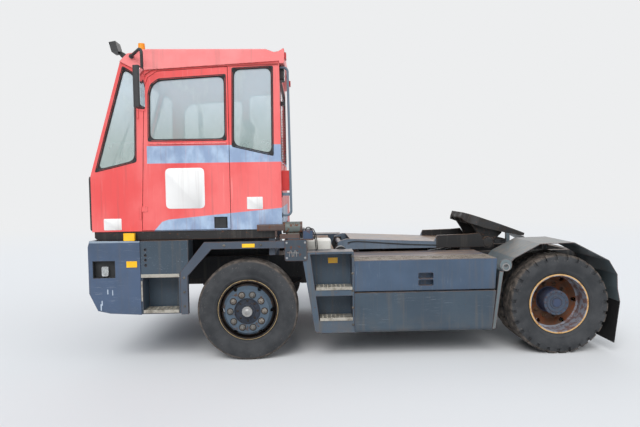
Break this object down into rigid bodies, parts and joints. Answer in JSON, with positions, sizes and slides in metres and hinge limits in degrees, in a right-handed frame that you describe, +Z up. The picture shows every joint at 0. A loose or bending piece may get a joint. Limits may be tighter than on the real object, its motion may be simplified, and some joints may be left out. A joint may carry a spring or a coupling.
{
  "type": "terminal tractor",
  "caption": "Terminal tractor with an offset tilting cab, lifting boom with a fifth wheel, side tanks and twin rear wheels.",
  "frame": {"origin": "on the ground, at the middle of the length and of the width", "axes": "+X to the rear, +Y to the vehicle's right, +Z up"},
  "size_m": [5.23, 3.27, 3.165],
  "materials": {
    "cab_paint": "faded satin red",
    "slate_paint": "satin slate blue",
    "wing_paint": "weathered satin",
    "black_paint": "satin",
    "rim_paint": "weathered satin",
    "hub_paint": "semi gloss",
    "tyre": "matte",
    "rubber": "matte",
    "glass": "clear",
    "aluminium": "worn",
    "cast_iron": "greasy",
    "chrome": "polished",
    "white_plastic": "matte",
    "black_plastic": "matte",
    "lamp_plastic": "clear gloss",
    "amber_plastic": "gloss",
    "red_plastic": "gloss",
    "hose": "satin",
    "seat_fabric": "woven"
  },
  "bodies": {
    "chassis": {"frame": "slate_paint", "bumper": "slate_paint", "head_lamps": "lamp_plastic", "front_axle": "black_paint", "leaf_springs": "black_paint", "rear_axle": "black_paint", "engine": "black_paint", "propshaft": "black_paint", "front_steps": "slate_paint", "arch_guards": "slate_paint", "deck_steps": "slate_paint", "step_treads": "aluminium", "tank_left": "slate_paint", "tank_right": "slate_paint", "tank_covers": "slate_paint", "deck_plate": "slate_paint", "lamp_housings": "black_plastic", "marker_lamps": "amber_plastic", "cab_latch": "black_paint", "reservoir": "white_plastic", "rear_wings": "wing_paint", "mud_flaps": "rubber", "engine_hood": "cab_paint", "cab_mounts": "black_paint"},
    "cab": {"cab_shell": "cab_paint", "cab_roof": "cab_paint", "cab_glass": "glass", "cab_subframe": "black_paint", "seat_base": "black_plastic", "seat_cushion": "seat_fabric", "seat_back": "seat_fabric", "dashboard": "black_plastic", "steering_wheel": "black_plastic", "mirrors": "black_plastic", "cab_fittings": "black_plastic", "connector_box": "red_plastic", "air_hose": "hose", "nose_panel": "black_plastic"},
    "door": {"door": "cab_paint", "door_glass": "glass", "door_handle": "black_plastic"},
    "tie_rod": {"tie_rod": "black_paint"},
    "boom": {"boom": "slate_paint"},
    "fifth_wheel": {"fifth_wheel": "cast_iron"},
    "knuckle_left": {"knuckle_left": "black_paint"},
    "wheel_front_left": {"tyre_front_left": "tyre", "wheel_front_left": "hub_paint"},
    "wheels_rear_left": {"tyres_rear_left": "tyre", "wheels_rear_left": "rim_paint"},
    "lift_barrel_left": {"lift_barrel_left": "slate_paint"},
    "lift_rod_left": {"lift_rod_left": "chrome"},
    "knuckle_right": {"knuckle_right": "black_paint"},
    "wheel_front_right": {"tyre_front_right": "tyre", "wheel_front_right": "hub_paint"},
    "wheels_rear_right": {"tyres_rear_right": "tyre", "wheels_rear_right": "rim_paint"},
    "lift_barrel_right": {"lift_barrel_right": "slate_paint"},
    "lift_rod_right": {"lift_rod_right": "chrome"}
  },
  "joints": [
    {"name": "steer_left", "type": "hinge", "parent": "chassis", "child": "knuckle_left", "pos_m": [-1.085, -0.94, 0.5], "axis": [0, 0, 1], "range_deg": [-38, 38]},
    {"name": "front_wheel_left", "type": "hinge", "parent": "knuckle_left", "child": "wheel_front_left", "pos_m": [-1.085, -1.08, 0.5], "axis": [0, 1, 0], "continuous": true},
    {"name": "rear_wheels_left", "type": "hinge", "parent": "chassis", "child": "wheels_rear_left", "pos_m": [2.015, -0.9575, 0.5], "axis": [0, 1, 0], "continuous": true},
    {"name": "barrel_swing_left", "type": "hinge", "parent": "chassis", "child": "lift_barrel_left", "pos_m": [0.165, -0.215, 0.82], "axis": [0, -1, 0], "range_deg": [0, 25]},
    {"name": "rod_slide_left", "type": "slide", "parent": "lift_barrel_left", "child": "lift_rod_left", "axis": [0.9856, 0, 0.169], "range_m": [0, 0.111]},
    {"name": "steer_right", "type": "hinge", "parent": "chassis", "child": "knuckle_right", "pos_m": [-1.085, 0.94, 0.5], "axis": [0, 0, 1], "range_deg": [-38, 38]},
    {"name": "front_wheel_right", "type": "hinge", "parent": "knuckle_right", "child": "wheel_front_right", "pos_m": [-1.085, 1.08, 0.5], "axis": [0, 1, 0], "continuous": true},
    {"name": "rear_wheels_right", "type": "hinge", "parent": "chassis", "child": "wheels_rear_right", "pos_m": [2.015, 0.9575, 0.5], "axis": [0, 1, 0], "continuous": true},
    {"name": "barrel_swing_right", "type": "hinge", "parent": "chassis", "child": "lift_barrel_right", "pos_m": [0.165, 0.215, 0.82], "axis": [0, -1, 0], "range_deg": [0, 25]},
    {"name": "rod_slide_right", "type": "slide", "parent": "lift_barrel_right", "child": "lift_rod_right", "axis": [0.9856, 0, 0.169], "range_m": [0, 0.111]},
    {"name": "tie_rod_swing", "type": "hinge", "parent": "knuckle_left", "child": "tie_rod", "pos_m": [-0.905, -0.94, 0.442], "axis": [0, 0, 1], "range_deg": [-38, 38]},
    {"name": "cab_tilt", "type": "hinge", "parent": "chassis", "child": "cab", "pos_m": [-2.525, -0.4, 1.255], "axis": [0, -1, 0], "range_deg": [0, 50]},
    {"name": "door_swing", "type": "hinge", "parent": "cab", "child": "door", "pos_m": [-2.108, -1.208, 2], "axis": [0, 0, -1], "range_deg": [0, 60]},
    {"name": "boom_lift", "type": "hinge", "parent": "chassis", "child": "boom", "pos_m": [-0.105, 0, 1.04], "axis": [0, -1, 0], "range_deg": [0, 21]},
    {"name": "fifth_wheel_tilt", "type": "hinge", "parent": "boom", "child": "fifth_wheel", "pos_m": [1.555, 0, 1.05], "axis": [0, -1, 0], "range_deg": [0, 25]}
  ],
  "couplings": [
    {"joint": "barrel_swing_left", "follows": "boom_lift", "ratio": 1.1659},
    {"joint": "rod_slide_left", "follows": "boom_lift", "m_per_rad": 0.2945},
    {"joint": "barrel_swing_right", "follows": "boom_lift", "ratio": 1.1659},
    {"joint": "rod_slide_right", "follows": "boom_lift", "m_per_rad": 0.2945},
    {"joint": "steer_right", "follows": "steer_left", "ratio": 1},
    {"joint": "tie_rod_swing", "follows": "steer_left", "ratio": -1}
  ]
}
